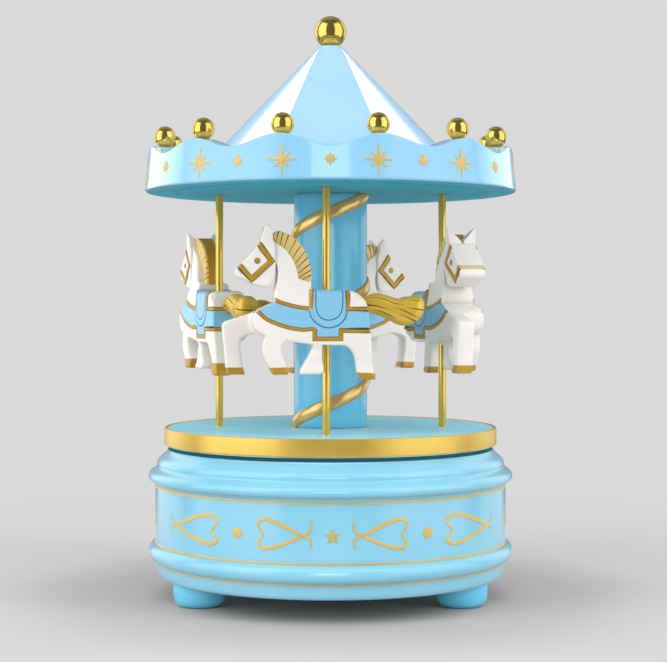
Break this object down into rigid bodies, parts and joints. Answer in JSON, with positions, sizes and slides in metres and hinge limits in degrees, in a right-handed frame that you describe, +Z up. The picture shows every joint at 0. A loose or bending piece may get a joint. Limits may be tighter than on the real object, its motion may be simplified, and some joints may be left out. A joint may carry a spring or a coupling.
{
  "type": "carousel music box",
  "caption": "Wind-up carousel music box: a horse carousel with gold poles and a scalloped canopy turns on a round footed base and drives a comb-and-cylinder movement.",
  "frame": {"origin": "centre of the footprint on the table, on the carousel's axis", "axes": "+Z up along the carousel's axis, -Y towards the viewer, +X to the viewer's right"},
  "size_m": [0.1124, 0.1124, 0.1757],
  "materials": {
    "body_blue": "glossy sky-blue lacquered plastic",
    "panel_white": "glossy white",
    "horse_white": "satin warm-white moulded plastic with painted bands",
    "gold_plated": "bright gold plating",
    "pole_gold": "polished gold-coloured tube",
    "screw_steel": "zinc-plated steel",
    "bed_zinc": null,
    "spring_steel": "blued spring steel",
    "comb_steel": "ground hardened steel",
    "brass_wheel": "machined brass",
    "nylon": "natural nylon",
    "fan_plastic": "dark moulded plastic",
    "plate_plastic": "matt blue plastic"
  },
  "bodies": {
    "base": {"base_drum": "body_blue", "bottom_plate": "plate_plastic", "bottom_plate_screws": "screw_steel", "foot_left": "body_blue", "foot_right": "body_blue", "foot_rear": "body_blue", "foot_screws": "screw_steel", "deck_bush": "nylon", "thrust_washer": "nylon", "movement_bedplate": "bed_zinc", "movement_screws": "screw_steel", "spring_housing": "brass_wheel", "housing_screws": "screw_steel", "mainspring": "spring_steel", "comb": "comb_steel", "comb_screws": "screw_steel", "cylinder_bracket_inner": "brass_wheel", "cylinder_bracket_outer": "brass_wheel", "governor_bracket": "brass_wheel", "bracket_screws": "screw_steel"},
    "carousel": {"winding_shaft": "screw_steel", "great_wheel": "brass_wheel", "click_spring": "spring_steel", "shaft_clip": "spring_steel", "shaft_nut": "screw_steel", "turntable": "body_blue", "turntable_rim_band": "gold_plated", "centre_column": "body_blue", "column_spiral": "gold_plated", "column_screws": "screw_steel", "ceiling_screws": "screw_steel", "pole_front": "pole_gold", "pole_left": "pole_gold", "pole_rear": "pole_gold", "pole_right": "pole_gold", "horse_front": "horse_white", "horse_left": "horse_white", "horse_rear": "horse_white", "horse_right": "horse_white", "canopy_ceiling": "body_blue", "canopy_fascia": "body_blue", "roof_cone": "body_blue", "rim_balls": "gold_plated", "canopy_screws": "screw_steel", "finial_ball": "gold_plated"},
    "cylinder": {"cylinder_arbor": "screw_steel", "music_cylinder": "brass_wheel", "cylinder_pinion": "nylon", "cylinder_wheel": "brass_wheel"},
    "governor_gear": {"governor_arbor": "screw_steel", "governor_pinion": "brass_wheel", "worm_wheel": "brass_wheel"},
    "fan": {"fan_spindle": "screw_steel", "fan_blades": "fan_plastic"}
  },
  "joints": [
    {"name": "carousel_spin", "type": "hinge", "parent": "base", "child": "carousel", "pos_m": [0, 0, 0.0456], "axis": [0, 0, 1], "continuous": true},
    {"name": "cylinder_spin", "type": "hinge", "parent": "base", "child": "cylinder", "pos_m": [0.028, 0, 0.021], "axis": [1, 0, 0], "continuous": true},
    {"name": "governor_spin", "type": "hinge", "parent": "base", "child": "governor_gear", "pos_m": [0.034, 0.0115, 0.02615], "axis": [1, 0, 0], "continuous": true},
    {"name": "fan_spin", "type": "hinge", "parent": "base", "child": "fan", "pos_m": [0.034, 0.0175, 0.0235], "axis": [0, 0, 1], "continuous": true}
  ],
  "couplings": [
    {"joint": "cylinder_spin", "follows": "carousel_spin", "ratio": -2.5},
    {"joint": "governor_spin", "follows": "carousel_spin", "ratio": 11.5},
    {"joint": "fan_spin", "follows": "carousel_spin", "ratio": -276}
  ]
}
